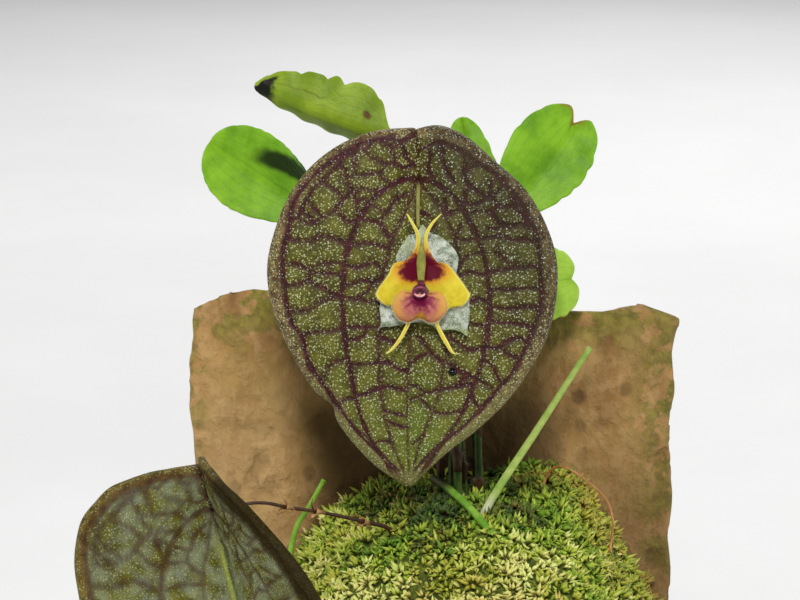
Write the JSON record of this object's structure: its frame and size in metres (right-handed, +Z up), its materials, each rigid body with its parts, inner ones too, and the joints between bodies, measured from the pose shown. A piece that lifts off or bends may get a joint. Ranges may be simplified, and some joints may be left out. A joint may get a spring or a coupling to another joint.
{
  "type": "miniature orchid in slatted basket",
  "caption": "Miniature orchid with a broad net-veined leaf and a small dancer-like flower, on moss and an upright bark slab in a square slatted wood basket.",
  "frame": {"origin": "centre of the underside of the basket's middle runner, on the surface that it stands on", "axes": "+Z up; +Y from the front towards the bark slab at the back; +X to the right as the main leaf is seen from the front"},
  "size_m": [0.092, 0.092, 0.1101],
  "materials": {
    "slat_wood": "weathered bare wood, planed and worn at the edges",
    "pin_metal": "dull galvanised wire",
    "bark": "rough corky bark with lenticels and a little algae",
    "moss": "damp moss, pale yellow-green tips",
    "net_leaf": "olive with a purple net of veins, fine sparkling papillae",
    "green_leaf": "bright green, satin",
    "green_stem": "smooth green stem",
    "dry_stem": "wiry brown stem with dry sheaths",
    "sepal": "silvery white, thin, finely textured",
    "petal": "yellow with a maroon patch",
    "lip": "orange-yellow and pink, purple centre",
    "column": "olive yellow-green, waxy",
    "column_cap": "purple, waxy"
  },
  "bodies": {
    "root": {"wall_front_1": "slat_wood", "wall_back_1": "slat_wood", "wall_left_2": "slat_wood", "wall_right_2": "slat_wood", "wall_front_3": "slat_wood", "wall_back_3": "slat_wood", "wall_left_4": "slat_wood", "wall_right_4": "slat_wood", "wall_front_5": "slat_wood", "wall_back_5": "slat_wood", "runner_middle": "slat_wood", "floor_slat_1": "slat_wood", "floor_slat_2": "slat_wood", "floor_slat_3": "slat_wood", "floor_slat_4": "slat_wood", "pin_front_left": "pin_metal", "pin_front_right": "pin_metal", "pin_back_left": "pin_metal", "pin_back_right": "pin_metal", "bark_slab": "bark", "moss": "moss", "leaf_main": "net_leaf", "leaf_low": "net_leaf", "leaf_green_left": "green_leaf", "leaf_green_top": "green_leaf", "leaf_green_narrow": "green_leaf", "leaf_green_right": "green_leaf", "leaf_green_beside": "green_leaf", "stem_main": "green_stem", "stem_low": "dry_stem", "stem_green_left": "green_stem", "stem_green_top": "green_stem", "stem_green_narrow": "green_stem", "stem_green_right": "green_stem", "stem_green_beside": "green_stem", "shoot_long": "green_stem", "shoot_short": "green_stem", "shoot_left": "green_stem", "flower_stalk": "green_stem", "sepals": "sepal", "petal_left": "petal", "petal_right": "petal", "lip": "lip", "column": "column", "column_cap": "column_cap"}
  },
  "joints": []
}
